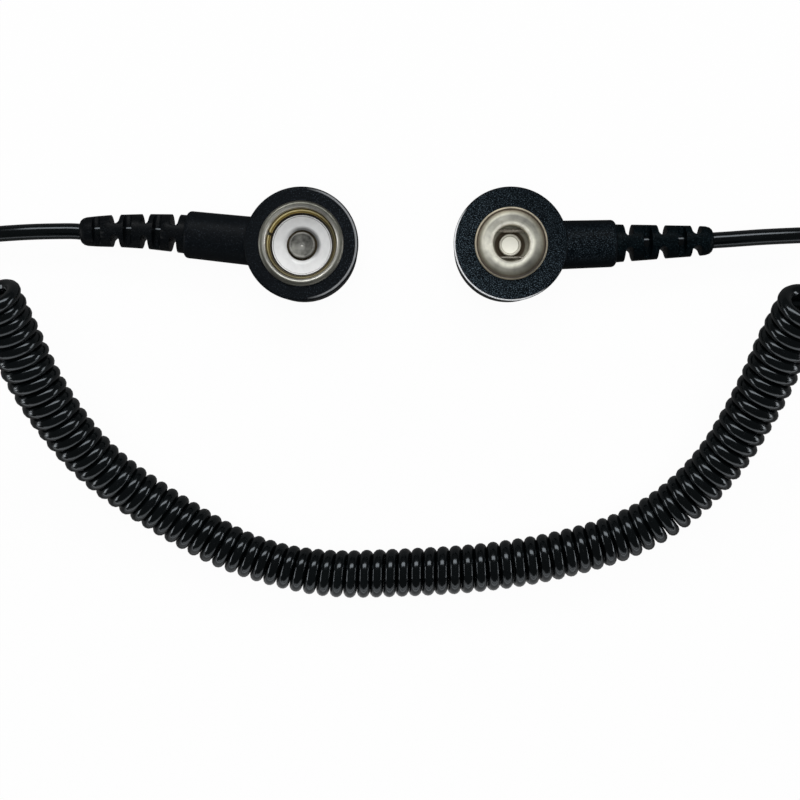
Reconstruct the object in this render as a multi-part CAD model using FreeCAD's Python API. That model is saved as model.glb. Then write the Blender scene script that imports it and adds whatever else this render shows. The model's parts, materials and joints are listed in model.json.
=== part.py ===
import FreeCAD, Part

import bisect
import math
import os
from dataclasses import dataclass

# Coiled ground cord of a wrist strap: a curly cord with a moulded snap head at each end.
# Millimetres, +Z up. Both heads lie on their backs on a table at z = 0, sockets up.
# The origin is on the table, midway between the two ends where the cord enters its strain reliefs.

Vector = FreeCAD.Vector
UP = Vector(0, 0, 1)

# Moulded housings, shared by both heads
head_thickness = 8.0
disc_radius = 8.5
disc_back_radius = 8.15
edge_round = 0.4
barrel_near_radius = 3.77
barrel_far_radius = 3.55
barrel_end_round = 0.7
floor_thickness = 1.2
web_thickness = 0.6
end_wall = 1.1
pin_radius = 0.5
pin_length = 1.2
pin_clearance = 0.05
pin_angles = (60.0, 180.0, 300.0)
seat_clearance = 0.02
socket_spacing = 31.1

# Sheet metal and the rivets that hold each socket down on its web
sheet = 0.3
socket_depth = 2.75
rivet_shank_radius = 1.0
rivet_clearance = 0.05
clinch_radius = 1.5
clinch_thickness = 0.4
terminal_radius = 2.3
terminal_sheet = 0.4
terminal_room = 1.1
tab_width = 1.8
tab_end_gap = 0.4

# Ring-spring socket for a 10 mm stud, on the ground head
stud_opening_radius = 5.275
rim_width = 1.05
rim_proud = 0.6
lip_depth = 0.65
ring_wire_radius = 0.4
ring_radius = 5.08
ring_gap = 0.5
ring_gap_angle = 162.0
ring_play_out = 0.27
ring_play_up = 0.15
ring_play_down = 0.05
plate_radius = 4.475
plate_gap = 0.145
plate_thickness = 0.4
plate_border_height = 0.1
plate_border_width = 0.14
plate_well_radius = 2.3
plate_roll_radius = 3.0
plate_roll_drop = 0.26
ring_rivet_radius = 1.98
ring_rivet_height = 0.62
ring_rivet_bowl_radius = 1.74
ring_rivet_bowl_depth = 0.2
ring_rivet_dimple_radius = 0.3

# Socket with two straight spring legs for a 4 mm stud, on the wrist head
stud_hole_radius = 2.7
hole_lip_depth = 0.5
hole_roll = 0.57
dome_height = 0.9
dome_foot_radius = 4.86
dome_foot_height = 0.36
cap_rim_radius = 5.41
cap_rim_height = 0.5
base_flange_radius = 5.1
base_flange_sheet = 0.2
base_wall_radius = 4.3
base_well_radius = 3.5
leg_spacing = 4.04
leg_wire_radius = 0.225
leg_end_x = 3.2
leg_side_x = 3.55
leg_corner_radius = 0.9
leg_free_y = -1.2
leg_play_down = 0.01
leg_shelf_depth = 1.25
leg_rivet_radius = 1.665
leg_rivet_bowl_radius = 1.28
leg_rivet_bowl_depth = 0.34
leg_rivet_height = 0.72
leg_rivet_roll = 0.14

# Resistor, crimp and wire inside each barrel
resistor_length = 6.3
resistor_radius = 1.15
resistor_waist_radius = 1.0
resistor_cap_length = 1.3
resistor_lead_radius = 0.3
resistor_room = 0.1
crimp_length = 2.4
crimp_radius = 0.85
crimp_bore_radius = 0.38
crimp_gap = 0.5
bare_wire_radius = 0.35
solder_gap = 0.02

# Moulded strain reliefs and the cord's end inside them
grip_flange_radius = 2.7
grip_flange_length = 0.9
grip_neck_radius = 2.1
grip_clearance = 0.03
relief_tip_round = 0.8
relief_neck = 1.05
relief_post_gap = 0.2
relief_post_cover = 0.15
notch_outer_width = 1.45
notch_inner_width = 1.15
tail_radius = 0.9

# Free cord
lead_radius = 1.15
lead_first_run = 9.0
curl_wire_diameter = 1.3
curl_outer_radius_middle = 3.58
curl_outer_radius_end = 4.0
curl_turns = 82
curl_pitch_growth = 0.05
curl_hand = -1
curl_gap_least = 0.4

# Route of the coil's centreline, as control points of a quadratic spline
coil_route = [
    (-55.5, -8.9, 22.6),
    (-54.4, -12.7, 19.0),
    (-50.8, -22.9, 13.8),
    (-44.5, -32.8, 8.2),
    (-35.0, -40.0, 4.4),
    (-24.2, -46.4, 3.6),
    (-12.0, -49.6, 3.6),
    (0.6, -49.3, 3.6),
    (13.1, -48.6, 3.6),
    (25.4, -46.6, 3.6),
    (37.5, -42.7, 4.1),
    (46.7, -34.5, 7.4),
    (52.2, -23.8, 12.2),
    (55.5, -13.5, 17.0),
    (57.0, -9.8, 20.4),
]
ground_lead_away = (-0.86, -0.51, 0.0)
wrist_lead_away = (0.86, -0.51, 0.0)

# Routes of the leads, from the point after each strain relief's exit to the one before the coil
ground_lead_route = [
    (-68.0, 1.5, 2.4),
    (-79.5, 2.7, 1.25),
    (-90.0, 0.6, 1.2),
    (-97.0, -7.0, 1.2),
    (-99.0, -17.5, 2.2),
    (-94.8, -27.0, 7.5),
    (-85.0, -30.0, 15.0),
    (-75.0, -23.8, 21.6),
]
wrist_lead_route = [
    (70.0, 2.2, 2.4),
    (81.5, 3.0, 1.25),
    (92.0, 0.6, 1.2),
    (98.5, -7.8, 1.2),
    (99.8, -18.0, 2.2),
    (94.5, -26.5, 6.3),
    (85.0, -28.5, 11.6),
    (76.6, -22.5, 17.6),
]

# Heights that several pieces share
axis_height = head_thickness / 2
socket_floor = head_thickness - socket_depth
web_bottom = socket_floor - web_thickness
terminal_bottom = web_bottom - terminal_sheet
tab_top = axis_height - resistor_lead_radius - solder_gap
shank_hole_radius = rivet_shank_radius + rivet_clearance
pocket_radius = terminal_radius + terminal_room
terminal_step = terminal_radius - terminal_sheet / 2


@dataclass
class Head:
    """One moulded head, in its own frame: socket on Z, barrel and cord along +X."""

    name: str
    barrel_end: float
    heading: float  # degrees, the barrel's direction seen from above
    relief_bend: float  # degrees that the strain relief turns in all, or none
    relief_start_radius: float
    relief_tip_radius: float
    relief_tip: float  # distance of the strain relief's tip from the socket axis
    side_notches: tuple  # distances of the notches cut from the sides
    top_slots: tuple  # distances of the slots cut from above and below

    @property
    def flange_start(self):
        return self.barrel_end - end_wall - grip_flange_length

    @property
    def crimp_end(self):
        return self.flange_start - resistor_room

    @property
    def crimp_start(self):
        return self.crimp_end - crimp_length

    @property
    def resistor_end(self):
        return self.crimp_start - crimp_gap

    @property
    def resistor_start(self):
        return self.resistor_end - resistor_length


GROUND = Head(
    name="ground",
    barrel_end=17.7,
    heading=174.0,
    relief_bend=7.5,
    relief_start_radius=2.9,
    relief_tip_radius=2.4,
    relief_tip=33.6,
    side_notches=(19.3, 23.8, 28.25),
    top_slots=(21.8, 26.2, 30.9),
)
WRIST = Head(
    name="wrist",
    barrel_end=16.0,
    heading=1.7,
    relief_bend=0.0,
    relief_start_radius=2.87,
    relief_tip_radius=2.15,
    relief_tip=30.67,
    side_notches=(17.95, 23.0, 28.2),
    top_slots=(20.6, 25.8),
)


# Basic shapes


def cylinder(radius, low, high, x=0.0, y=0.0):
    """Upright cylinder between two heights."""
    return Part.makeCylinder(radius, high - low, Vector(x, y, low))


def rod(radius, start, end):
    """Cylinder along the barrel's axis, between two distances from the socket axis."""
    return Part.makeCylinder(radius, end - start, Vector(start, 0, axis_height), Vector(1, 0, 0))


def box(low, high):
    """Box between its lowest and highest corners."""
    size = Vector(*high) - Vector(*low)
    return Part.makeBox(size.x, size.y, size.z, Vector(*low))


def turned(profile):
    """Solid of revolution about Z. A profile item is a point (radius, height), or a pair
    of points where an arc passes through the first and ends at the second."""
    edges = []
    here = Vector(profile[0][0], 0, profile[0][1])
    start = here
    for item in profile[1:]:
        if isinstance(item[0], tuple):
            through, there = (Vector(p[0], 0, p[1]) for p in item)
            edges.append(Part.Arc(here, through, there).toShape())
        else:
            there = Vector(item[0], 0, item[1])
            edges.append(Part.LineSegment(here, there).toShape())
        here = there
    edges.append(Part.LineSegment(here, start).toShape())
    face = Part.Face(Part.Wire(edges))
    return face.revolve(Vector(0, 0, 0), UP, 360)


def fused(shapes):
    """One solid from shapes that share faces or volume."""
    return shapes[0].fuse(shapes[1:]).removeSplitter()


def tangent_arc(start, direction, end):
    """Arc that leaves start along direction and ends at end."""
    chord = end - start
    along = Vector(chord).normalize()
    half_turn = math.acos(max(-1.0, min(1.0, along.dot(direction))))
    side = (direction - along * along.dot(direction)).normalize()
    rise = chord.Length / 2 * math.tan(half_turn / 2)
    return Part.Arc(start, (start + end) / 2 + side * rise, end).toShape()


def route_wire(points):
    """Path of straight runs joined by tangent arcs, and the radii of its arcs."""
    runs = [b - a for a, b in zip(points, points[1:])]
    edges = []
    radii = []
    here = points[0]
    for corner, before, after in zip(points[1:], runs, runs[1:]):
        turn = before.getAngle(after)
        reach = 0.45 * min(before.Length, after.Length)
        leave = Vector(before).normalize()
        arrive = Vector(after).normalize()
        arc_start = corner - leave * reach
        arc_end = corner + arrive * reach
        edges.append(Part.LineSegment(here, arc_start).toShape())
        edges.append(tangent_arc(arc_start, leave, arc_end))
        radii.append(reach / math.tan(turn / 2))
        here = arc_end
    edges.append(Part.LineSegment(here, points[-1]).toShape())
    return Part.Wire(edges), radii


def tube(path, radius, start, direction):
    """Round solid swept along a path that starts at a point with a direction."""
    ring = Part.Wire(Part.makeCircle(radius, start, direction))
    return path.makePipeShell([ring], True, False)


def tube_report(name, solid, path, radius):
    """Prints a tube's volume beside its section times its length."""
    ideal = math.pi * radius**2 * path.Length
    print(f"{name}: length {path.Length:.1f} mm, volume {solid.Volume:.1f}, section x length {ideal:.1f}")


# Places of the heads


def in_place(head, shape):
    """Copy of a shape from a head's own frame, where that head lies on the table."""
    placed = shape.copy()
    placed.rotate(Vector(0, 0, 0), UP, head.heading)
    placed.translate(Vector(socket_x[head.name], 0, 0))
    return placed


def relief_path(head):
    """Points of the bent strain relief's centreline in the head's frame."""
    stops = [head.flange_start, *head.side_notches, head.relief_tip]
    points = [Vector(stops[0], 0, axis_height)]
    angle = 0.0
    for before, after in zip(stops, stops[1:]):
        step = Vector(math.cos(math.radians(angle)), math.sin(math.radians(angle)), 0)
        points.append(points[-1] + step * (after - before))
        angle += head.relief_bend / len(head.side_notches)
    return points


def reach_along_x(head):
    """How far the strain relief's tip lies from the socket axis along X, on the table."""
    tip = relief_path(head)[-1]
    heading = math.radians(head.heading)
    return abs(tip.x * math.cos(heading) - tip.y * math.sin(heading))


socket_x = {
    GROUND.name: (reach_along_x(GROUND) - reach_along_x(WRIST) - socket_spacing) / 2,
    WRIST.name: (reach_along_x(GROUND) - reach_along_x(WRIST) + socket_spacing) / 2,
}


# Housings


def head_outline(head):
    """Whole outer form of a head: a disc that narrows to its back, and a barrel, both rounded."""
    corner = edge_round * (1 - math.sqrt(0.5))
    disc = turned([
        (0, 0),
        (disc_back_radius - edge_round, 0),
        ((disc_back_radius - corner, corner), (disc_back_radius, edge_round)),
        (disc_radius, head_thickness - edge_round),
        (
            (disc_radius - corner, head_thickness - corner),
            (disc_radius - edge_round, head_thickness),
        ),
        (0, head_thickness),
    ])
    end_corner = barrel_end_round * (1 - math.sqrt(0.5))
    barrel = turned([
        (0, 0),
        (barrel_near_radius, 0),
        (barrel_far_radius, head.barrel_end - barrel_end_round),
        (
            (barrel_far_radius - end_corner, head.barrel_end - end_corner),
            (barrel_far_radius - barrel_end_round, head.barrel_end),
        ),
        (0, head.barrel_end),
    ])
    barrel.rotate(Vector(0, 0, 0), Vector(0, 1, 0), 90)
    barrel.translate(Vector(0, 0, axis_height))
    return disc.fuse(barrel)


def inner_room(head):
    """Space that both housing halves leave for the terminal, resistor, crimp and strain relief."""
    pocket = cylinder(pocket_radius, floor_thickness, web_bottom)
    channel = box(
        (0, -tab_width / 2 - resistor_room, tab_top - terminal_sheet - resistor_room),
        (head.resistor_start, tab_width / 2 + resistor_room, web_bottom),
    )
    pieces = [
        pocket,
        channel,
        rod(resistor_radius + resistor_room, head.resistor_start - resistor_room, head.crimp_start),
        rod(crimp_radius + grip_clearance, head.crimp_start - resistor_room, head.flange_start),
        rod(
            grip_flange_radius + grip_clearance,
            head.flange_start - grip_clearance,
            head.barrel_end - end_wall,
        ),
        rod(grip_neck_radius + grip_clearance, head.flange_start, head.barrel_end + end_wall),
    ]
    return pieces[0].fuse(pieces[1:])


def slab(head, low, high):
    """Box that holds all of a head between two heights."""
    return box((-2 * disc_radius, -2 * disc_radius, low), (2 * head.barrel_end, 2 * disc_radius, high))


def pin_places(socket_radius):
    """Centres of the locating pins, midway between the socket and the disc's edge."""
    circle = (socket_radius + disc_radius) / 2
    return [
        (circle * math.cos(math.radians(a)), circle * math.sin(math.radians(a))) for a in pin_angles
    ]


def housing_back(head, socket_radius):
    """Lower half of a head's housing, with the locating pins that enter the upper half."""
    half = head_outline(head).common(slab(head, 0, axis_height)).cut(inner_room(head))
    pins = [
        cylinder(pin_radius, axis_height, axis_height + pin_length, x, y)
        for x, y in pin_places(socket_radius)
    ]
    return half.fuse(pins)


def housing_front(head, socket_radius, seats):
    """Upper half of a head's housing, cut for its socket's seats and the locating pins."""
    half = head_outline(head).common(slab(head, axis_height, head_thickness))
    holes = [
        cylinder(pin_radius + pin_clearance, axis_height, axis_height + pin_length + pin_clearance, x, y)
        for x, y in pin_places(socket_radius)
    ]
    shank_hole = cylinder(shank_hole_radius, web_bottom, head_thickness)
    return half.cut([inner_room(head), shank_hole, *seats, *holes])


# Ring-spring socket of the ground head

groove_radius = ring_radius + ring_wire_radius + ring_play_out
lip_bottom = head_thickness - lip_depth
ring_height = lip_bottom - ring_play_up - ring_wire_radius
shelf_top = ring_height - ring_wire_radius - ring_play_down
shell_well_radius = plate_radius + plate_gap
rim_radius = stud_opening_radius + rim_width
rim_top = head_thickness + rim_proud
shell_seat_radius = groove_radius + sheet + seat_clearance


def ring_socket_seats():
    """Cuts in the housing that the pressed shell sits in."""
    return [
        cylinder(shell_well_radius + sheet + seat_clearance, socket_floor, head_thickness),
        cylinder(shell_seat_radius, shelf_top - sheet, head_thickness),
    ]


def ring_socket_shell():
    """Pressed shell: a floor on the web, a shelf under the ring spring, a lip and a rolled rim."""
    roll_foot = rim_top - rim_width / 3
    return turned([
        (shank_hole_radius, socket_floor),
        (shell_well_radius + sheet, socket_floor),
        (shell_well_radius + sheet, shelf_top - sheet),
        (groove_radius + sheet, shelf_top - sheet),
        (groove_radius + sheet, head_thickness),
        (rim_radius, head_thickness),
        (rim_radius, roll_foot),
        ((stud_opening_radius + rim_width / 2, rim_top), (stud_opening_radius, roll_foot)),
        (stud_opening_radius, lip_bottom),
        (groove_radius, lip_bottom),
        (groove_radius, shelf_top),
        (shell_well_radius, shelf_top),
        (shell_well_radius, socket_floor + sheet),
        (shank_hole_radius, socket_floor + sheet),
    ])


def ring_spring():
    """Split ring of round wire that a 10 mm stud's head snaps through."""
    gap_turn = math.degrees(ring_gap / ring_radius)
    section = Part.Wire(Part.makeCircle(ring_wire_radius, Vector(ring_radius, 0, ring_height), Vector(0, 1, 0)))
    ring = Part.Face(section).revolve(Vector(0, 0, 0), UP, 360 - gap_turn)
    # turned back by the head's heading, so that the gap lies where the photograph shows it
    ring.rotate(Vector(0, 0, 0), UP, ring_gap_angle + gap_turn / 2 - GROUND.heading)
    return ring


def ring_socket_plate():
    """Pale plate on the shell's floor: a raised border, and an edge rolled down round the rivet."""
    low = socket_floor + sheet
    top = low + plate_thickness
    border = plate_radius - plate_border_width
    roll_middle = (plate_well_radius + plate_roll_radius) / 2
    return turned([
        (plate_well_radius, low),
        (plate_radius, low),
        (plate_radius, top + plate_border_height),
        (border, top + plate_border_height),
        (border - plate_border_height, top),
        (plate_roll_radius, top),
        ((roll_middle, top - plate_roll_drop / 4), (plate_well_radius, top - plate_roll_drop)),
    ])


def ring_socket_rivet():
    """Rivet with a dished head in the plate's well, clinched under the terminal."""
    low = socket_floor + sheet
    top = low + ring_rivet_height
    edge = ring_rivet_bowl_depth
    bowl = top - ring_rivet_bowl_depth
    return turned([
        (0, terminal_bottom - clinch_thickness),
        (clinch_radius, terminal_bottom - clinch_thickness),
        (clinch_radius, terminal_bottom),
        (rivet_shank_radius, terminal_bottom),
        (rivet_shank_radius, low),
        (ring_rivet_radius, low),
        (ring_rivet_radius, top - edge),
        (ring_rivet_radius - edge, top),
        (ring_rivet_bowl_radius, top),
        (ring_rivet_bowl_radius - edge, bowl),
        (ring_rivet_dimple_radius, bowl),
        (0, bowl - ring_rivet_bowl_depth),
    ])


# Spring-leg socket of the wrist head

base_top = head_thickness + base_flange_sheet
hole_lip_top = dome_height - hole_roll
dome_top_radius = stud_hole_radius + hole_roll
leg_shelf = head_thickness - leg_shelf_depth
leg_height = leg_shelf + leg_play_down + leg_wire_radius


def leg_socket_seats():
    """Cuts in the housing that the base cup sits in."""
    return [
        cylinder(base_well_radius + sheet + seat_clearance, socket_floor, head_thickness),
        cylinder(base_wall_radius + sheet + seat_clearance, leg_shelf - sheet, head_thickness),
    ]


def leg_socket_base():
    """Stepped base cup: a floor on the web, a shelf under the spring and a flange on the face."""
    return turned([
        (shank_hole_radius, socket_floor),
        (base_well_radius + sheet, socket_floor),
        (base_well_radius + sheet, leg_shelf - sheet),
        (base_wall_radius + sheet, leg_shelf - sheet),
        (base_wall_radius + sheet, head_thickness),
        (base_flange_radius, head_thickness),
        (base_flange_radius, base_top),
        (base_wall_radius, base_top),
        (base_wall_radius, leg_shelf),
        (base_well_radius, leg_shelf),
        (base_well_radius, socket_floor + sheet),
        (shank_hole_radius, socket_floor + sheet),
    ])


def leg_socket_cap():
    """Domed cap with a lipped hole, its outer rim closed round the base's flange."""
    face = head_thickness
    under = base_top + seat_clearance
    lip_wall = stud_hole_radius + sheet
    dome_middle = (dome_top_radius + dome_foot_radius) / 2
    dome_side = face + (2 * dome_height + dome_foot_height) / 3
    roll_corner = hole_roll * (1 - math.sqrt(0.5))
    rim_inner = dome_foot_radius + sheet / 4
    rim_middle = (rim_inner + cap_rim_radius) / 2
    return turned([
        (stud_hole_radius, face - hole_lip_depth),
        (stud_hole_radius, face + hole_lip_top),
        (
            (stud_hole_radius + roll_corner, face + dome_height - roll_corner),
            (dome_top_radius, face + dome_height),
        ),
        ((dome_middle, dome_side), (dome_foot_radius, face + dome_foot_height)),
        (rim_inner, face + dome_foot_height),
        ((rim_middle, face + cap_rim_height), (cap_rim_radius, face + dome_foot_height)),
        (cap_rim_radius, face),
        (base_flange_radius + seat_clearance, face),
        (base_flange_radius + seat_clearance, under),
        (base_wall_radius + sheet, under),
        (dome_top_radius, face + dome_height - sheet),
        (lip_wall, face + hole_lip_top),
        (lip_wall, face - hole_lip_depth),
    ])


def spring_legs():
    """Wire bent flat into two straight legs joined at one side, with a free end at the other."""
    y = leg_spacing / 2
    corners = [
        Vector(leg_side_x, leg_free_y, leg_height),
        Vector(leg_side_x, y, leg_height),
        Vector(-leg_side_x, y, leg_height),
        Vector(-leg_side_x, -y, leg_height),
        Vector(leg_end_x, -y, leg_height),
    ]
    edges = []
    here = corners[0]
    for before, corner, after in zip(corners, corners[1:], corners[2:]):
        arc_start = corner + (before - corner).normalize() * leg_corner_radius
        arc_end = corner + (after - corner).normalize() * leg_corner_radius
        edges.append(Part.LineSegment(here, arc_start).toShape())
        edges.append(tangent_arc(arc_start, (corner - arc_start).normalize(), arc_end))
        here = arc_end
    edges.append(Part.LineSegment(here, corners[-1]).toShape())
    spring = tube(Part.Wire(edges), leg_wire_radius, corners[0], Vector(0, 1, 0))
    # turned back by the head's heading, so that the legs lie as in the photograph
    spring.rotate(Vector(0, 0, 0), UP, -WRIST.heading)
    return spring


def leg_socket_rivet():
    """Rivet with a rolled rim round a flat-floored bowl, clinched under the terminal."""
    low = socket_floor + sheet
    top = low + leg_rivet_height
    floor = top - leg_rivet_bowl_depth
    rim_foot = top - leg_rivet_roll
    rim_middle = (leg_rivet_radius + leg_rivet_bowl_radius) / 2
    return turned([
        (0, terminal_bottom - clinch_thickness),
        (clinch_radius, terminal_bottom - clinch_thickness),
        (clinch_radius, terminal_bottom),
        (rivet_shank_radius, terminal_bottom),
        (rivet_shank_radius, low),
        (leg_rivet_radius, low),
        (leg_rivet_radius, rim_foot),
        ((rim_middle, top), (leg_rivet_bowl_radius, rim_foot)),
        (leg_rivet_bowl_radius, floor),
        (0, floor),
    ])


# Electrical pieces inside a head


def terminal(head):
    """Ring terminal clinched under the web, with a stepped tab under the resistor's lead."""
    ring = cylinder(terminal_radius, terminal_bottom, web_bottom)
    step = box(
        (terminal_step, -tab_width / 2, tab_top - terminal_sheet),
        (terminal_step + terminal_sheet, tab_width / 2, web_bottom),
    )
    tab = box(
        (terminal_step, -tab_width / 2, tab_top - terminal_sheet),
        (head.resistor_start - tab_end_gap, tab_width / 2, tab_top),
    )
    return fused([ring, step, tab]).cut(cylinder(shank_hole_radius, terminal_bottom, web_bottom))


def resistor(head):
    """Resistor body, thicker over its two end caps."""
    start = head.resistor_start
    end = head.resistor_end
    return fused([
        rod(resistor_radius, start, start + resistor_cap_length),
        rod(resistor_waist_radius, start + resistor_cap_length, end - resistor_cap_length),
        rod(resistor_radius, end - resistor_cap_length, end),
    ])


def resistor_leads(head):
    """Two wires: one soldered to the terminal's tab, the other in the crimp."""
    inner = rod(
        resistor_lead_radius, terminal_step + terminal_sheet + solder_gap, head.resistor_start
    )
    middle = (head.crimp_start + head.crimp_end) / 2
    outer = rod(resistor_lead_radius, head.resistor_end, middle)
    return Part.makeCompound([inner, outer])


def crimp_sleeve(head):
    """Sleeve pressed over the resistor's lead and the cord's bare wire."""
    sleeve = rod(crimp_radius, head.crimp_start, head.crimp_end)
    return sleeve.cut(rod(crimp_bore_radius, head.crimp_start, head.crimp_end))


def bare_wire(head):
    """Stripped end of the cord's conductor, from the crimp to the jacket's end."""
    middle = (head.crimp_start + head.crimp_end) / 2
    return rod(bare_wire_radius, middle + solder_gap, head.flange_start)


# Strain reliefs and cord ends


def wire_tail(head):
    """End of the cord's jacket, gripped in the strain relief from the flange to the tip."""
    if not head.relief_bend:
        return rod(tail_radius, head.flange_start, head.relief_tip)
    points = relief_path(head)
    path, _ = route_wire(points)
    return tube(path, tail_radius, points[0], Vector(1, 0, 0))


def notch(place, half_height, along_z):
    """Pair of round-floored wedges that leave only a neck of the strain relief at one place."""
    wide = notch_outer_width / 2
    narrow = notch_inner_width / 2
    low = -half_height
    floor_left = Vector(place - narrow, relief_neck + narrow, low)
    floor_middle = Vector(place, relief_neck, low)
    floor_right = Vector(place + narrow, relief_neck + narrow, low)
    mouth = [floor_right, Vector(place + wide, half_height, low), Vector(place - wide, half_height, low), floor_left]
    edges = [Part.Arc(floor_left, floor_middle, floor_right).toShape()]
    edges += [Part.LineSegment(a, b).toShape() for a, b in zip(mouth, mouth[1:])]
    wedge = Part.Face(Part.Wire(edges)).extrude(Vector(0, 0, 2 * half_height))
    pair = wedge.fuse(wedge.mirror(Vector(0, 0, 0), Vector(0, 1, 0)))
    if along_z:
        pair.rotate(Vector(0, 0, 0), Vector(1, 0, 0), 90)
    pair.translate(Vector(0, 0, axis_height))
    return pair


def straight_relief(head):
    """Strain relief before it is bent: a flange, a neck in the end wall and a notched cone."""
    tip_corner = relief_tip_round * (1 - math.sqrt(0.5))
    body = turned([
        (0, head.flange_start),
        (grip_flange_radius, head.flange_start),
        (grip_flange_radius, head.flange_start + grip_flange_length - grip_clearance),
        (grip_neck_radius, head.flange_start + grip_flange_length - grip_clearance),
        (grip_neck_radius, head.barrel_end),
        (head.relief_start_radius, head.barrel_end),
        (head.relief_tip_radius, head.relief_tip - relief_tip_round),
        (
            (head.relief_tip_radius - tip_corner, head.relief_tip - tip_corner),
            (head.relief_tip_radius - relief_tip_round, head.relief_tip),
        ),
        (0, head.relief_tip),
    ])
    body.rotate(Vector(0, 0, 0), Vector(0, 1, 0), 90)
    body.translate(Vector(0, 0, axis_height))
    cuts = [notch(place, head.relief_start_radius, False) for place in head.side_notches]
    cuts += [notch(place, head.relief_start_radius, True) for place in head.top_slots]
    return body.cut(cuts)


def strain_relief(head):
    """Strain relief bent at its side notches as its head asks, open for the cord's end."""
    straight = straight_relief(head)
    if not head.relief_bend:
        return straight.cut(wire_tail(head))
    points = relief_path(head)
    stops = [head.flange_start - end_wall, *head.side_notches, head.relief_tip + end_wall]
    width = 2 * head.relief_start_radius
    parts = []
    for number, (start, end) in enumerate(zip(stops, stops[1:])):
        part = straight.common(box(
            (start + relief_post_gap, -width, axis_height - width),
            (end - relief_post_gap, width, axis_height + width),
        ))
        if number:
            hinge = Vector(head.side_notches[number - 1], 0, axis_height)
            part.rotate(hinge, UP, number * head.relief_bend / len(head.side_notches))
            part.translate(points[number] - hinge)
        parts.append(part)
    # round posts join the segments, so that every bend leaves the same clean faces
    half = head.relief_tip_radius - relief_post_cover
    parts += [
        cylinder(relief_neck, axis_height - half, axis_height + half, p.x, p.y) for p in points[1:-1]
    ]
    return parts[0].fuse(parts[1:]).cut(wire_tail(head))


def lead_start(head):
    """Where the free lead leaves a strain relief, and its direction there."""
    ends = [Part.Vertex(p) for p in relief_path(head)[-2:]]
    before, tip = (in_place(head, v).Point for v in ends)
    return tip, (tip - before).normalize()


# Curly cord


def coil_centreline():
    """Quadratic spline of the coil's axis, clamped at its ends with even knots."""
    poles = [Vector(*p) for p in coil_route]
    spans = len(poles) - 2
    spline = Part.BSplineCurve()
    spline.buildFromPolesMultsKnots(
        poles, [3] + [1] * (spans - 1) + [3], [k / spans for k in range(spans + 1)], False, 2
    )
    return spline


def curl_frames(samples):
    """Evenly spaced stations along the coil's axis: point, direction and a steady normal."""
    axis = coil_centreline()
    stations = []
    normal = None
    for parameter in axis.discretize(samples):
        here = axis.parameter(parameter)
        direction = Vector(axis.tangent(here)[0])
        if normal is None:
            normal = direction.cross(UP).normalize()
        normal = (normal - direction * direction.dot(normal)).normalize()
        stations.append((parameter, direction, normal))
    return stations


def curl_angle(away, direction, normal, leaving):
    """Angle round the axis where the wire runs along away: forwards if leaving, else backwards."""
    side = direction.cross(normal)
    sign = 1 if leaving else -1
    return math.atan2(-sign * away.dot(normal), sign * curl_hand * away.dot(side))


class Curl:
    """Centreline of the curled wire, as points at any share of its whole turning."""

    def __init__(self):
        self.last = curl_turns * 48
        self.stations = curl_frames(self.last + 1)
        (_, d0, n0), (_, d1, n1) = self.stations[0], self.stations[-1]
        self.first_angle = curl_angle(Vector(*ground_lead_away), d0, n0, False)
        ahead = curl_angle(Vector(*wrist_lead_away), d1, n1, True) - self.first_angle
        self.turns = round(curl_turns - ahead / (2 * math.pi)) + ahead / (2 * math.pi)
        # the pitch grows a little towards both ends, so the turns are denser in the middle
        density = [1 / (1 + curl_pitch_growth * self.outwards(k)) for k in range(self.last + 1)]
        self.travel = [0.0]
        for before, after in zip(density, density[1:]):
            self.travel.append(self.travel[-1] + (before + after) / 2)

    def outwards(self, station):
        """0 in the middle of the coil, rising to 1 at its ends."""
        return abs(2 * station / self.last - 1) ** 3

    def point(self, share):
        """Point of the wire's centreline where it has turned through a share of all its turns."""
        wanted = self.travel[-1] * share
        k = min(max(bisect.bisect(self.travel, wanted) - 1, 0), self.last - 1)
        part = (wanted - self.travel[k]) / (self.travel[k + 1] - self.travel[k])
        (p0, d0, n0), (p1, d1, n1) = self.stations[k], self.stations[k + 1]
        direction = (d0 + (d1 - d0) * part).normalize()
        normal = (n0 + (n1 - n0) * part).normalize()
        spread = curl_outer_radius_end - curl_outer_radius_middle
        outer = curl_outer_radius_middle + spread * self.outwards(k + part)
        angle = self.first_angle + 2 * math.pi * self.turns * share
        around = normal * math.cos(angle) + direction.cross(normal) * (curl_hand * math.sin(angle))
        return p0 + (p1 - p0) * part + around * (outer - curl_wire_diameter / 2)

    def tangent(self, share):
        """Direction of the wire there, from two points close by."""
        step = 1e-3 / self.turns
        return (self.point(share + step) - self.point(share - step)).normalize()


def biarc(start, direction, end, arrival):
    """Two arcs that leave start along direction and reach end along arrival."""
    chord = end - start
    both = direction + arrival
    square = 2 * (1 - direction.dot(arrival))
    reach = (-chord.dot(both) + math.sqrt(chord.dot(both) ** 2 + square * chord.dot(chord))) / square
    near = start + direction * reach
    far = end - arrival * reach
    middle = (near + far) / 2
    return [
        tangent_arc(start, direction, middle),
        tangent_arc(middle, (far - near).normalize(), end),
    ]


def curled_path():
    """Path of the curly cord: biarcs of a half turn, with a straight end of one diameter each side."""
    curl = Curl()
    halves = round(2 * curl.turns)
    points = [curl.point(k / halves) for k in range(halves + 1)]
    tangents = [curl.tangent(k / halves) for k in range(halves + 1)]
    start = points[0] - tangents[0] * curl_wire_diameter
    end = points[-1] + tangents[-1] * curl_wire_diameter
    edges = [Part.LineSegment(start, points[0]).toShape()]
    for k in range(halves):
        edges += biarc(points[k], tangents[k], points[k + 1], tangents[k + 1])
    edges.append(Part.LineSegment(points[-1], end).toShape())
    print(f"curly_cord: {curl.turns:.2f} turns")
    return Part.Wire(edges), start, tangents[0], end, tangents[-1]


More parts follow.
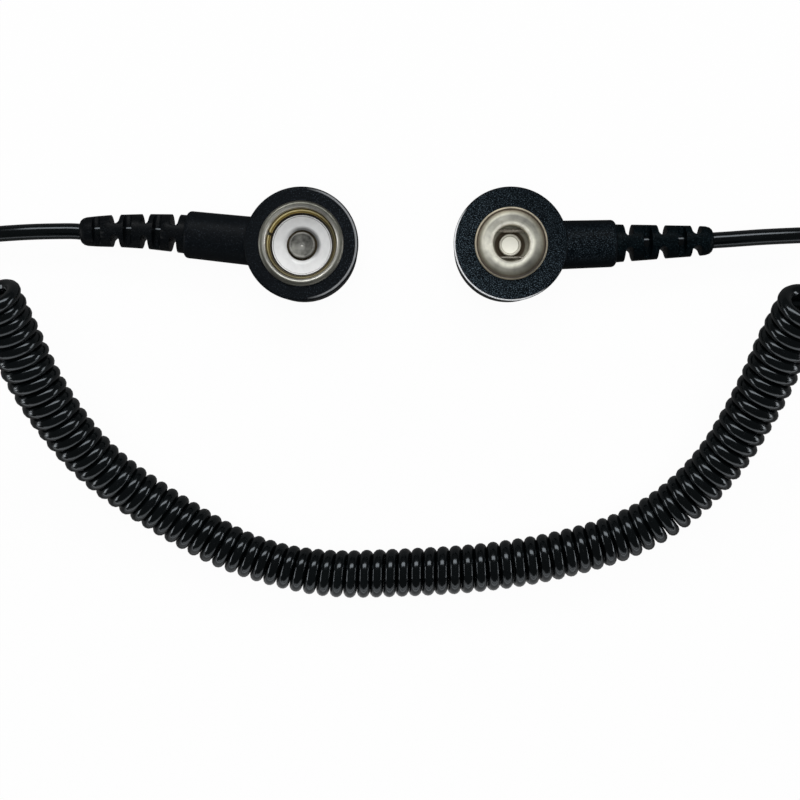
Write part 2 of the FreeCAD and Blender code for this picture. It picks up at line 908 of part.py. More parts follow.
def least_gap(path):
    """Least distance between the curled tube's surface and itself, measured on points."""
    per_arc = 10
    arcs_per_turn = 4
    points = [p for edge in path.OrderedEdges for p in edge.discretize(Number=per_arc + 1)[:-1]]
    near = int(0.6 * arcs_per_turn * per_arc)
    far = int(1.6 * arcs_per_turn * per_arc)
    least = min(
        a.distanceToPoint(b)
        for k, a in enumerate(points)
        for b in points[k + near : k + far]
    )
    return least - curl_wire_diameter


def lead(head, route, coil_end, into_coil):
    """Free lead from a strain relief's tip along its route to the coil's end."""
    tip, outward = lead_start(head)
    points = [tip, tip + outward * lead_first_run]
    points += [Vector(*p) for p in route]
    points += [coil_end - into_coil * lead_first_run, coil_end]
    path, radii = route_wire(points)
    solid = tube(path, lead_radius, tip, outward)
    tube_report(f"{head.name}_lead", solid, path, lead_radius)
    print(f"{head.name}_lead bend radii: {', '.join(f'{r:.1f}' for r in radii)}")
    return solid


def curly_cord_and_leads():
    """The three free stretches of the cord."""
    path, start, start_direction, end, end_direction = curled_path()
    curls = tube(path, curl_wire_diameter / 2, start, start_direction)
    tube_report("curly_cord", curls, path, curl_wire_diameter / 2)
    gap = least_gap(path)
    print(f"curly_cord: least gap to itself {gap:.3f} mm, wanted over {curl_gap_least}")
    return {
        "curly_cord": curls,
        "ground_lead": lead(GROUND, ground_lead_route, start, start_direction),
        "wrist_lead": lead(WRIST, wrist_lead_route, end, end_direction * -1),
    }


def head_pieces(head, socket_radius, seats, socket):
    """All pieces of one head by node name, in its own frame."""
    pieces = {
        "housing_back": housing_back(head, socket_radius),
        "housing_front": housing_front(head, socket_radius, seats),
        "terminal": terminal(head),
        "resistor": resistor(head),
        "resistor_leads": resistor_leads(head),
        "crimp_sleeve": crimp_sleeve(head),
        "bare_wire": bare_wire(head),
        "wire_tail": wire_tail(head),
        "strain_relief": strain_relief(head),
    }
    pieces.update(socket)
    return {f"{head.name}_{name}": in_place(head, shape) for name, shape in pieces.items()}


def all_pieces():
    """Every sub-part of the assembly by node name."""
    pieces = head_pieces(GROUND, shell_seat_radius, ring_socket_seats(), {
        "snap_shell": ring_socket_shell(),
        "snap_spring": ring_spring(),
        "snap_plate": ring_socket_plate(),
        "snap_rivet": ring_socket_rivet(),
    })
    pieces.update(head_pieces(WRIST, shell_seat_radius, leg_socket_seats(), {
        "snap_base": leg_socket_base(),
        "snap_cap": leg_socket_cap(),
        "snap_spring": spring_legs(),
        "snap_rivet": leg_socket_rivet(),
    }))
    pieces.update(curly_cord_and_leads())
    return pieces


os.makedirs("parts", exist_ok=True)
for node, shape in all_pieces().items():
    shape.exportStep(f"parts/{node}.step")
    print(f"{node}: {len(shape.Solids)} solid, volume {shape.Volume:.2f}, valid {shape.isValid()}")
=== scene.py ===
"""Coiled ground cord of a wrist strap: its cord, strain reliefs, finishes, light and camera.

All lengths are metres and all angles are degrees, unless a name says otherwise.
"""

import bisect
import json
import logging
import math
from dataclasses import dataclass, field
from enum import Enum
from typing import Dict, List, Optional, Sequence, Tuple, Union

import bmesh
import bpy
from mathutils import Matrix, Vector


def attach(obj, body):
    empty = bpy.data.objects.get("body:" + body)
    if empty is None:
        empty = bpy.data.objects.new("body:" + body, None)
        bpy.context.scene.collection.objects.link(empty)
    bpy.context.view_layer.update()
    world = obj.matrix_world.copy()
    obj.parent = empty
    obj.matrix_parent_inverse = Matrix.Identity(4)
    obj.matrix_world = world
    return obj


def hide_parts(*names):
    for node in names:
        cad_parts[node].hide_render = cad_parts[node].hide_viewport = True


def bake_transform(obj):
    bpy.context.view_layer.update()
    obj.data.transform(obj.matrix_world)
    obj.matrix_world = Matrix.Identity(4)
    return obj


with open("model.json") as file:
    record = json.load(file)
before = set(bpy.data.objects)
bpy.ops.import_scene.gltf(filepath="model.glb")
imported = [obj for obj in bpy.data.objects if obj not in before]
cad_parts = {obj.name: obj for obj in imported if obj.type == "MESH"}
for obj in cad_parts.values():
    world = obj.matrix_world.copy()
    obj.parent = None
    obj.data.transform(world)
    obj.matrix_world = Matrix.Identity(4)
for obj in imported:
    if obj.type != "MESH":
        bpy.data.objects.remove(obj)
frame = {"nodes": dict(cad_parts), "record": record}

log = logging.getLogger("wrist_strap_cord")

MM = 0.001
UP = Vector((0.0, 0.0, 1.0))
BLACK = (0.0, 0.0, 0.0)
AXIS_HEIGHT = 4.0 * MM
SMOOTH_EDGE = math.radians(45.0)
CLOSE = 1e-6

Point = Tuple[float, float, float]
Colour = Tuple[float, float, float]
Pair = Tuple[float, float]
Piece = bpy.types.Object
Finish = bpy.types.Material


class Side(Enum):
    """The two ends of the cord, named as the bodies and nodes of their heads are."""

    GROUND = "ground"
    WRIST = "wrist"

    @property
    def body(self) -> str:
        """Name of the head's body."""
        return f"{self.value}_head"

    def node(self, piece: str) -> str:
        """Name of one of the head's nodes."""
        return f"{self.value}_{piece}"


class Slot(Enum):
    """Slots of the record's materials that go with the remade pieces."""

    RELIEF_PVC = "relief_pvc"
    CORD_PVC = "cord_pvc"


# Selection and edit helpers


def clear_selection() -> None:
    """Leaves edit mode and deselects everything."""
    if bpy.context.mode != "OBJECT":
        bpy.ops.object.mode_set(mode="OBJECT")
    bpy.ops.object.select_all(action="DESELECT")


def pick(piece: Piece) -> None:
    """Makes one object the only selected and active one.

    Args:
        piece: the object to select.
    """
    clear_selection()
    piece.select_set(True)
    bpy.context.view_layer.objects.active = piece


def settle(piece: Piece, name: str) -> Piece:
    """Names an object and puts its place, turn and scale into its mesh.

    Args:
        piece: the object.
        name: its new name.

    Returns:
        The same object, at the origin.
    """
    pick(piece)
    bpy.ops.object.transform_apply(location=True, rotation=True, scale=True)
    piece.name = name
    piece.data.name = name
    return piece


def apply_modifier(piece: Piece, kind: str, **settings: object) -> None:
    """Adds a modifier, sets it up and applies it.

    Args:
        piece: the object that gets the modifier.
        kind: the modifier's type.
        settings: values for its properties.
    """
    pick(piece)
    modifier = piece.modifiers.new(kind.title(), kind)
    for key, value in settings.items():
        setattr(modifier, key, value)
    bpy.ops.object.modifier_apply(modifier=modifier.name)


def shade_smooth(piece: Piece) -> None:
    """Shades a piece smooth except over its sharp edges.

    Args:
        piece: the object.
    """
    pick(piece)
    bpy.ops.object.shade_smooth_by_angle(angle=SMOOTH_EDGE)


def close_and_turn_out(piece: Piece) -> None:
    """Merges doubled vertices and turns all faces outwards.

    Args:
        piece: the object.
    """
    pick(piece)
    bpy.ops.object.mode_set(mode="EDIT")
    bpy.ops.mesh.select_all(action="SELECT")
    bpy.ops.mesh.remove_doubles(threshold=CLOSE)
    bpy.ops.mesh.normals_make_consistent(inside=False)
    bpy.ops.object.mode_set(mode="OBJECT")


def round_bar(name: str, stations: Sequence[Pair], sides: int) -> Piece:
    """Round solid along X at the barrel's height, extruded ring by ring.

    Args:
        name: name of the new object.
        stations: distance along X and radius of each ring.
        sides: vertices in a ring.

    Returns:
        The new object, settled at the origin.
    """
    clear_selection()
    place, radius = stations[0]
    bpy.ops.mesh.primitive_circle_add(
        vertices=sides,
        radius=radius,
        fill_type="NGON",
        location=(place, 0.0, AXIS_HEIGHT),
        rotation=(0.0, math.pi / 2, 0.0),
    )
    bar = settle(bpy.context.object, name)
    bpy.ops.object.mode_set(mode="EDIT")
    bpy.ops.mesh.select_all(action="SELECT")
    for there, wide in stations[1:]:
        bpy.ops.mesh.extrude_region_move(TRANSFORM_OT_translate={"value": (there - place, 0.0, 0.0)})
        share = wide / radius
        bpy.ops.transform.resize(value=(1.0, share, share), center_override=(there, 0.0, AXIS_HEIGHT))
        place, radius = there, wide
    bpy.ops.object.mode_set(mode="OBJECT")
    close_and_turn_out(bar)
    return bar


# Curves


def nurbs_curve(
    name: str, controls: Sequence[Vector], radii: Optional[Sequence[float]] = None
) -> bpy.types.Curve:
    """Curve of one open quadratic NURBS spline that starts and ends at its end points.

    Args:
        name: name of the curve.
        controls: its control points.
        radii: share of the bevel's depth at each control point.

    Returns:
        The curve, with no bevel yet.
    """
    curve = bpy.data.curves.new(name, "CURVE")
    curve.dimensions = "3D"
    spline = curve.splines.new("NURBS")
    spline.points.add(len(controls) - 1)
    for number, (knot, place) in enumerate(zip(spline.points, controls)):
        knot.co = (*place, 1.0)
        if radii is not None:
            knot.radius = radii[number]
    spline.order_u = 3
    spline.use_endpoint_u = True
    return curve


def spline_points(controls: Sequence[Vector], fineness: int) -> List[Vector]:
    """Points along the NURBS spline of some control points.

    Args:
        controls: the control points.
        fineness: points for each of its spans.

    Returns:
        The points in order.
    """
    curve = nurbs_curve("route", controls)
    curve.resolution_u = fineness
    route = bpy.data.objects.new("route", curve)
    bpy.context.scene.collection.objects.link(route)
    bpy.context.view_layer.update()
    mesh = bpy.data.meshes.new_from_object(route)
    points = [vertex.co.copy() for vertex in mesh.vertices]
    bpy.data.objects.remove(route)
    bpy.data.curves.remove(curve)
    bpy.data.meshes.remove(mesh)
    return points


def locate(reach: Sequence[float], wanted: float) -> Tuple[int, float]:
    """Finds a value in a rising list.

    Args:
        reach: the list.
        wanted: the value.

    Returns:
        Index of the span in which it lies, and how far along that span, from 0 to 1.
    """
    k = min(max(bisect.bisect(reach, wanted) - 1, 0), len(reach) - 2)
    return k, (wanted - reach[k]) / (reach[k + 1] - reach[k])


def evenly_spaced(points: Sequence[Vector], count: int) -> List[Vector]:
    """Points at equal steps along a polyline.

    Args:
        points: the polyline.
        count: how many points are wanted.

    Returns:
        The points, with both ends of the polyline.
    """
    reach = [0.0]
    for before, after in zip(points, points[1:]):
        reach.append(reach[-1] + (after - before).length)
    spaced = []
    for number in range(count):
        k, share = locate(reach, reach[-1] * number / (count - 1))
        spaced.append(points[k].lerp(points[k + 1], share))
    return spaced


# Shader expressions

Feed = Union[float, int, Sequence[float], "Signal"]


class Signal:
    """Output of a shader node, on which sums are written as plain expressions."""

    def __init__(self, board: "Board", socket: bpy.types.NodeSocket) -> None:
        """Wraps a socket of a board's node tree."""
        self.board = board
        self.socket = socket

    def _sum(self, operation: str, first: Feed, second: Feed) -> "Signal":
        """Math node on two values."""
        return self.board.add("ShaderNodeMath", {"operation": operation}, {0: first, 1: second})

    def __add__(self, other: Feed) -> "Signal":
        """This value plus another."""
        return self._sum("ADD", self, other)

    __radd__ = __add__

    def __sub__(self, other: Feed) -> "Signal":
        """This value less another."""
        return self._sum("SUBTRACT", self, other)

    def __rsub__(self, other: Feed) -> "Signal":
        """Another value less this one."""
        return self._sum("SUBTRACT", other, self)

    def __mul__(self, other: Feed) -> "Signal":
        """This value times another."""
        return self._sum("MULTIPLY", self, other)

    __rmul__ = __mul__

    def __truediv__(self, other: Feed) -> "Signal":
        """This value over another."""
        return self._sum("DIVIDE", self, other)

    def __pow__(self, other: Feed) -> "Signal":
        """This value to a power."""
        return self._sum("POWER", self, other)

    def over(self, low: float, high: float) -> "Signal":
        """Rises from 0 to 1 while this value goes from low to high, and stays there.

        Args:
            low: value at which the result is 0.
            high: value at which the result is 1.

        Returns:
            The clamped share.
        """
        return self.board.add(
            "ShaderNodeMapRange",
            {"clamp": True},
            {"Value": self, "From Min": low, "From Max": high},
        )


class Board:
    """Node tree of one material, with helpers that add its nodes."""

    def __init__(self, name: str) -> None:
        """Makes a material with a plain principled shader."""
        self.material = bpy.data.materials.new(name)
        self.material.use_nodes = True
        self.tree = self.material.node_tree
        self.shader = self.tree.nodes["Principled BSDF"]

    def feed(self, socket: bpy.types.NodeSocket, value: Feed) -> None:
        """Links a signal into a socket, or sets the socket's own value.

        Args:
            socket: an input socket.
            value: a signal, a number, or a colour or vector.
        """
        if isinstance(value, Signal):
            self.tree.links.new(value.socket, socket)
        elif isinstance(value, (int, float)):
            socket.default_value = value
        elif len(value) < len(socket.default_value):
            socket.default_value = (*value, 1.0)
        else:
            socket.default_value = value

    def add(
        self,
        kind: str,
        settings: Optional[Dict[str, object]] = None,
        sockets: Optional[Dict[Union[int, str], Feed]] = None,
        output: Union[int, str] = 0,
    ) -> Signal:
        """Adds any node.

        Args:
            kind: the node's type.
            settings: its properties, set before its sockets.
            sockets: values or links of its inputs, by index or name.
            output: which output is wanted.

        Returns:
            That output.
        """
        node = self.tree.nodes.new(kind)
        for key, value in (settings or {}).items():
            if key == "stops":
                self.set_stops(node.color_ramp, value)
            else:
                setattr(node, key, value)
        for key, value in (sockets or {}).items():
            self.feed(node.inputs[key], value)
        return Signal(self, node.outputs[output])

    @staticmethod
    def set_stops(ramp: bpy.types.ColorRamp, stops: Sequence[Tuple[float, Colour]]) -> None:
        """Gives a colour ramp its stops.

        Args:
            ramp: the ramp of a new node.
            stops: place from 0 to 1 and colour of each stop.
        """
        while len(ramp.elements) < len(stops):
            ramp.elements.new(1.0)
        for element, (where, colour) in zip(ramp.elements, stops):
            element.position = where
            element.color = (*colour, 1.0)

    def place(self) -> Signal:
        """Place of the shaded point, in metres."""
        return self.add("ShaderNodeTexCoord", output="Object")

    def vector(self, operation: str, *inputs: Feed, output: str = "Vector") -> Signal:
        """Vector math node.

        Args:
            operation: what it does.
            inputs: its inputs in order.
            output: "Vector", or "Value" for a length or a dot product.

        Returns:
            The result.
        """
        sockets = dict(enumerate(inputs))
        return self.add("ShaderNodeVectorMath", {"operation": operation}, sockets, output)

    def from_axis(self, centre: Pair) -> Tuple[Signal, Signal]:
        """Level vector from an upright axis to the shaded point, and its length.

        Args:
            centre: where the axis stands on the table.

        Returns:
            The vector and the length, in metres.
        """
        flat = self.vector("MULTIPLY_ADD", self.place(), (1.0, 1.0, 0.0), (-centre[0], -centre[1], 0.0))
        return flat, self.vector("LENGTH", flat, output="Value")

    def towards(self, flat: Signal, way: float) -> Signal:
        """How far a level vector reaches along a direction.

        Args:
            flat: the vector.
            way: the direction's angle from +X.

        Returns:
            The reach in metres.
        """
        ahead = (math.cos(math.radians(way)), math.sin(math.radians(way)), 0.0)
        return self.vector("DOT_PRODUCT", flat, ahead, output="Value")

    def facing_up(self) -> Signal:
        """Rise of the surface's own normal: 1 on level faces and 0 on upright ones."""
        normal = self.add("ShaderNodeNewGeometry", output="Normal")
        return self.add("ShaderNodeSeparateXYZ", sockets={0: normal}, output="Z")

    def noise(self, width: float, detail: float = 2.0, place: Optional[Signal] = None) -> Signal:
        """Cloudy noise from 0 to 1.

        Args:
            width: size of its cells.
            detail: how many finer layers it has.
            place: where it is read, or the point's own place.

        Returns:
            The noise.
        """
        sockets = {"Vector": place or self.place(), "Scale": 1.0 / width, "Detail": detail}
        return self.add("ShaderNodeTexNoise", sockets=sockets)

    def blend(self, share: Feed, first: Feed, second: Feed, how: str = "MIX") -> Signal:
        """Mixes two colours.

        Args:
            share: 0 for the first colour and 1 for the second.
            first: a colour.
            second: a colour.
            how: the mix node's way of blending.

        Returns:
            The mixed colour.
        """
        sockets = {"Factor": share, 6: first, 7: second}
        return self.add("ShaderNodeMix", {"data_type": "RGBA", "blend_type": how}, sockets, output=2)

    def bump(self, height: Signal, depth: float, under: Optional[Signal] = None) -> Signal:
        """Normal of a surface that rises by a depth where height is 1.

        Args:
            height: the relief, from 0 to 1.
            depth: rise of the highest place.
            under: the normal of a relief that this one lies on.

        Returns:
            The normal.
        """
        sockets: Dict[Union[int, str], Feed] = {"Height": height, "Distance": depth}
        if under is not None:
            sockets["Normal"] = under
        return self.add("ShaderNodeBump", sockets=sockets)

    def finish(self, **sockets: Feed) -> Finish:
        """Feeds the shader and gives the material.

        Args:
            sockets: inputs of the principled shader, with _ for spaces in their names.

        Returns:
            The finished material.
        """
        for name, value in sockets.items():
            self.feed(self.shader.inputs[name.replace("_", " ")], value)
        return self.material


# Finishes


@dataclass(frozen=True)
class GrainedMoulding:
    """Black moulded plastic or soft vinyl with an eroded grain and pale flecks; on a disc, painted
    light on one side and a painted highlight along its edge.
    """

    name: str
    base: Colour
    fleck: Colour
    grain: float
    depth: float
    fleck_cover: float
    roughness: float
    specular: float
    # painted light on a disc: the side it falls from, and the place, width and colour of a painted
    # highlight along the edge
    painted_light_way: float = 0.0
    highlight_radius: float = 0.0
    highlight_width: float = 0.0
    edge: Colour = BLACK

    def lit(self, board: Board, pale: Signal, centre: Pair) -> Signal:
        """Colour of the grain on a disc, with painted light that makes one side lighter and a painted
        highlight along the disc's rounded edge on that side.

        Args:
            board: the material's nodes.
            pale: share of the flecks' colour.
            centre: the disc's middle.

        Returns:
            The colour.
        """
        flat, away = board.from_axis(centre)
        side = board.towards(flat, self.painted_light_way)
        # painted light: the flecks grow brighter towards the lit side
        grain = board.blend(pale * (0.6 + side.over(-8 * MM, 8 * MM)), self.base, self.fleck)
        # painted highlight: a bright line along the disc's rounded edge, on the lit side only
        rise = away.over(self.highlight_radius - self.highlight_width, self.highlight_radius)
        line = rise - away.over(self.highlight_radius, self.highlight_radius + self.highlight_width)
        line = line * 2 * board.facing_up().over(0.2, 0.4)
        return board.blend(line * (side / away).over(0.1, 0.6), grain, self.edge)

    def material(self, centre: Optional[Pair] = None) -> Finish:
        """The finish as a material, with painted light on one side and a painted edge highlight if it
        has a centre.
        """
        board = Board(self.name)
        grain = board.noise(self.grain, detail=3.0)
        cloud = board.noise(self.grain * 12, detail=1.0)
        flecks = grain.over(0.62 - self.fleck_cover, 0.74 - self.fleck_cover)
        rough = self.roughness + (cloud - 0.5) * 0.12 - flecks * 0.1
        sockets = {"Vector": board.place(), "Scale": 1.0 / (self.grain * 1.6)}
        pits = board.add("ShaderNodeTexVoronoi", sockets=sockets)
        normal = board.bump(grain + pits * 0.5, self.depth)
        # the pale flecks show only on faces turned upwards
        pale = flecks * (0.6 + cloud * 0.6) * board.facing_up().over(0.5, 1.0)
        if centre is None:
            colour = board.blend(pale, self.base, self.fleck)
        else:
            colour = self.lit(board, pale, centre)
        return board.finish(
            Base_Color=colour,
            Roughness=rough,
            Specular_IOR_Level=self.specular,
            Normal=normal,
        )


@dataclass(frozen=True)
class GlossJacket:
    """Smooth black cable jacket with faint drawing marks."""

    name: str
    base: Colour
    roughness: float
    specular: float

    def material(self) -> Finish:
        """The finish as a material."""
        board = Board(self.name)
        cloud = board.noise(1.2 * MM, detail=3.0)
        haze = board.noise(6.0 * MM, detail=1.0)
        lighter = tuple(1.8 * share for share in self.base)
        return board.finish(
            Base_Color=board.blend(haze.over(0.35, 0.75), self.base, lighter),
            Roughness=self.roughness + cloud * 0.05 + haze * 0.04,
            Specular_IOR_Level=self.specular,
            Specular_Tint=(0.84, 0.93, 1.0),
            Normal=board.bump(cloud, 0.006 * MM),
        )


@dataclass(frozen=True)
class Shade:
    """Painted shade: a side of a turned piece darkened in its colour. Radii are millimetres."""

    strength: float
    way: float
    inner: float = 0.0
    outer: float = 9.0
    cosines: Pair = (-1.0, 0.0)
    soft: float = 0.3

    def share(self, board: Board, flat: Signal, away: Signal) -> Signal:
        """How much of the colour is lost at the shaded point.

        Args:
            board: the material's nodes.
            flat: level vector from the piece's axis.
            away: its length.

        Returns:
            The share.
        """
        side = (board.towards(flat, self.way) / away).over(*self.cosines)
        risen = away.over(self.inner * MM, (self.inner + self.soft) * MM)
        fallen = away.over(self.outer * MM, (self.outer + self.soft) * MM)
        return side * (risen - fallen) * self.strength


@dataclass(frozen=True)
class TurnedMetal:
    """Plated metal pressed or turned round an upright axis, with fine rings, tarnish, and bands of
    colour that hold painted highlights and painted shade rings besides the metal's own colour.

    A band is a distance from the axis, in millimetres, and the colour there.
    """

    name: str
    bands: Tuple[Tuple[float, Colour], ...]
    roughness: float
    metallic: float
    tarnish: float = 0.7
    # painted shade on the two sides that lie across a way, standing in for the light and dark sectors
    # of turned metal
    painted_sweep_shade: float = 0.0
    painted_sweep_way: float = 0.0
    shades: Tuple[Shade, ...] = ()

    def material(self, centre: Pair) -> Finish:
        """The finish as a material, round an axis that stands at a centre."""
        board = Board(self.name)
        flat, away = board.from_axis(centre)
        # the bands paint highlights and shade rings into the colour
        reach = self.bands[-1][0]
        stops = [(radius / reach, colour) for radius, colour in self.bands]
        colour = board.add("ShaderNodeValToRGB", {"stops": stops}, {0: away / (reach * MM)})
        ringed = board.add("ShaderNodeCombineXYZ", sockets={"X": away * 14.0, "Y": 0.0, "Z": 0.0})
        near = board.vector("ADD", ringed, flat)
        rings = board.noise(0.9 * MM, detail=4.0, place=near)
        dull = board.noise(1.1 * MM, detail=4.0).over(0.4, 0.75)
        colour = board.blend(dull, colour, (self.tarnish,) * 3, how="MULTIPLY")
        # painted shade: darkens the two sides that lie across painted_sweep_way
        if self.painted_sweep_shade:
            across = 1 - (board.towards(flat, self.painted_sweep_way) / away) ** 2
            colour = board.blend(self.painted_sweep_shade * across, colour, BLACK)
        # painted shade on single sides
        for shade in self.shades:
            colour = board.blend(shade.share(board, flat, away), colour, BLACK)
        return board.finish(
            Base_Color=colour,
            Metallic=self.metallic,
            Roughness=self.roughness + dull * 0.08 + (rings - 0.5) * 0.1,
            Normal=board.bump(rings, 0.002 * MM),
        )


@dataclass(frozen=True)
class DrawnMetal:
    """Wire or small stamped metal with a fine even grain."""

    name: str
    bright: Colour
    tarnish: Colour
    roughness: float
    grain: float

    def material(self) -> Finish:
        """The finish as a material."""
        board = Board(self.name)
        grain = board.noise(self.grain, detail=2.0)
        stain = board.noise(self.grain * 9, detail=2.0)
        return board.finish(
            Base_Color=board.blend(stain.over(0.4, 0.7), self.bright, self.tarnish),
            Metallic=1.0,
            Roughness=self.roughness + grain * 0.08,
            Normal=board.bump(grain, self.grain * 0.03),
        )


@dataclass(frozen=True)
class LacqueredBody:
    """Lacquered resistor body: tan coat, a little mottled."""

    name: str
    coat: Colour
    shade: Colour

    def material(self) -> Finish:
        """The finish as a material."""
        board = Board(self.name)
        mottle = board.noise(0.5 * MM, detail=2.0)
        return board.finish(
            Base_Color=board.blend(mottle.over(0.3, 0.7), self.coat, self.shade),
            Roughness=0.3 + mottle * 0.1,
            Normal=board.bump(mottle, 0.01 * MM),
        )


# The heads


@dataclass
class Head:
    """Place and lengths of one head. Distances run from its socket's axis along its barrel.

    Each ring of its relief is a distance and a radius, in millimetres.
    """

    side: Side
    socket: str
    heading: float
    bend: float
    barrel_end: float
    flange_start: float
    relief_rings: Tuple[Pair, ...]
    tip: float
    side_notches: Tuple[float, ...]
    notch_floors: Tuple[float, ...]
    top_slots: Tuple[float, ...]

    @property
    def socket_place(self) -> Vector:
        """Foot of the socket's axis on the table, from the record's mount."""
        mount = next(m for m in frame["record"]["mounts"] if m["name"] == self.socket)
        x, y, _ = mount["pos_m"]
        return Vector((x, y, 0.0))

    def put(self) -> Matrix:
        """Turn and move that put the head's own frame on the table."""
        turn = Matrix.Rotation(math.radians(self.heading), 4, "Z")
        return Matrix.Translation(self.socket_place) @ turn

    def line(self) -> List[Vector]:
        """Points of the bent strain relief's middle line, in the head's own frame."""
        stops = [self.flange_start, *self.side_notches, self.tip]
        points = [Vector((stops[0], 0.0, AXIS_HEIGHT))]
        angle = 0.0
        for before, after in zip(stops, stops[1:]):
            step = Vector((math.cos(math.radians(angle)), math.sin(math.radians(angle)), 0.0))
            points.append(points[-1] + step * (after - before))
            angle += self.bend / len(self.side_notches)
        return points

    def exit(self) -> Tuple[Vector, Vector]:
        """Where the cord leaves the strain relief on the table, and its direction there."""
        before, tip = (self.put() @ point for point in self.line()[-2:])
        return tip, (tip - before).normalized()


@dataclass
class StrainRelief:
    """Soft tapered sleeve with notches at its sides and slots above and below."""

    head: Head
    finish: Finish
    cord_finish: Finish
    sides: int = 64
    notch_sides: int = 20
    tail_sides: int = 40
    tail_rings: int = 28
    neck: float = 0.85 * MM
    notch_flare: float = 0.2 * MM
    slot_floor: float = 0.58 * MM
    slot_mouth: float = 1.5 * MM
    notch_reach: float = 2.6 * MM
    flange_radius: float = 2.7 * MM
    flange_length: float = 0.87 * MM
    throat_radius: float = 2.1 * MM
    edge: float = 0.2 * MM
    edge_angle: float = 38.0
    tail_radius: float = 1.12 * MM

    def cutter(self, place: float, turn: float, floor: float, mouth: float) -> Piece:
        """Prism of a notch with a rounded floor that opens outwards.

        Args:
            place: the notch's distance along the relief.
            turn: angle of its outward direction round the relief's axis, 0 towards +Y.
            floor: radius of its floor.
            mouth: width that it has at the relief's surface.

        Returns:
            The cutter.
        """
        clear_selection()
        bpy.ops.mesh.primitive_cylinder_add(
            vertices=self.notch_sides,
            radius=floor,
            depth=4 * self.flange_radius,
            end_fill_type="NGON",
            location=(place, self.neck + floor, AXIS_HEIGHT),
        )
        tool = settle(bpy.context.object, "notch")
        bpy.ops.object.mode_set(mode="EDIT")
        bpy.ops.mesh.select_mode(type="VERT")
        mesh = bmesh.from_edit_mesh(tool.data)
        for vertex in mesh.verts:
            vertex.select_set(vertex.co.y > self.neck + floor + CLOSE)
        mesh.select_flush(True)
        bmesh.update_edit_mesh(tool.data)
        bpy.ops.transform.translate(value=(0.0, self.notch_reach, 0.0))
        # the mouth is as wide as asked where the relief's surface is
        slope = (mouth / 2 - floor) / (self.flange_radius - self.neck)
        widen = 1 + slope * self.notch_reach / floor
        bpy.ops.transform.resize(value=(widen, 1.0, 1.0), center_override=(place, 0.0, AXIS_HEIGHT))
        bpy.ops.object.mode_set(mode="OBJECT")
        swing = Matrix.Translation((0, 0, AXIS_HEIGHT)) @ Matrix.Rotation(math.radians(turn), 4, "X")
        tool.matrix_world = swing @ Matrix.Translation((0, 0, -AXIS_HEIGHT))
        return settle(tool, "notch")

    def bend(self, piece: Piece) -> None:
        """Turns what lies beyond each side notch, and puts the piece on the table.

        Args:
            piece: a straight piece in the head's own frame.
        """
        step = math.radians(self.head.bend / len(self.head.side_notches))
        if step:
            for place in reversed(self.head.side_notches):
                swing = Matrix.Rotation(step, 4, "Z")
                hinge = Vector((place, 0.0, AXIS_HEIGHT))
                swing = Matrix.Translation(hinge) @ swing @ Matrix.Translation(-hinge)
                for vertex in piece.data.vertices:
                    if vertex.co.x > place:
                        vertex.co = swing @ vertex.co
        piece.data.transform(self.head.put())
        piece.data.update()

    def rings(self) -> List[Pair]:
        """Distance and radius of every ring of the sleeve, from its flange to its tip."""
        start = self.head.flange_start
        rings = [
            (start, self.flange_radius),
            (start + self.flange_length, self.flange_radius),
            (start + self.flange_length, self.throat_radius),
            (self.head.barrel_end, self.throat_radius),
        ]
        return rings + [(place * MM, radius * MM) for place, radius in self.head.relief_rings]

    def sleeve(self) -> Piece:
        """The notched sleeve."""
        body = round_bar(self.head.side.node("relief"), self.rings(), self.sides)
        cutters = []
        for place, floor in zip(self.head.side_notches, self.head.notch_floors):
            mouth = 2 * floor + self.notch_flare
            cutters += [self.cutter(place, turn, floor, mouth) for turn in (0.0, 180.0)]
        for place in self.head.top_slots:
            for turn in (90.0, 270.0):
                cutters.append(self.cutter(place, turn, self.slot_floor, self.slot_mouth))
        for tool in cutters:
            apply_modifier(body, "BOOLEAN", operation="DIFFERENCE", solver="EXACT", object=tool)
            bpy.data.objects.remove(tool)
        sharp = math.radians(self.edge_angle)
        apply_modifier(
            body, "BEVEL", width=self.edge, segments=3, limit_method="ANGLE", angle_limit=sharp
        )
        close_and_turn_out(body)
        self.bend(body)
        shade_smooth(body)
        return body

    def tail(self) -> Piece:
        """The cord's end inside the sleeve, which the slots show."""
        start, count = self.head.flange_start, self.tail_rings
        reach = self.head.tip - start
        stations = [(start + reach * k / count, self.tail_radius) for k in range(count + 1)]
        tail = round_bar(self.head.side.node("cord_end"), stations, self.tail_sides)
        self.bend(tail)
        shade_smooth(tail)
        return tail

    def build(self) -> None:
        """Makes both pieces, dresses them and hides the frame's nodes that they replace."""
        line = [self.head.put() @ point for point in self.head.line()]
        pieces = (
            (self.sleeve(), self.finish, "strain_relief", Slot.RELIEF_PVC),
            (self.tail(), self.cord_finish, "wire_tail", Slot.CORD_PVC),
        )
        for piece, finish, node, slot in pieces:
            piece.data.materials.append(finish)
            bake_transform(piece)
            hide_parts(self.head.side.node(node))
            log.info("%s: %d faces", piece.name, len(piece.data.polygons))


# The cord


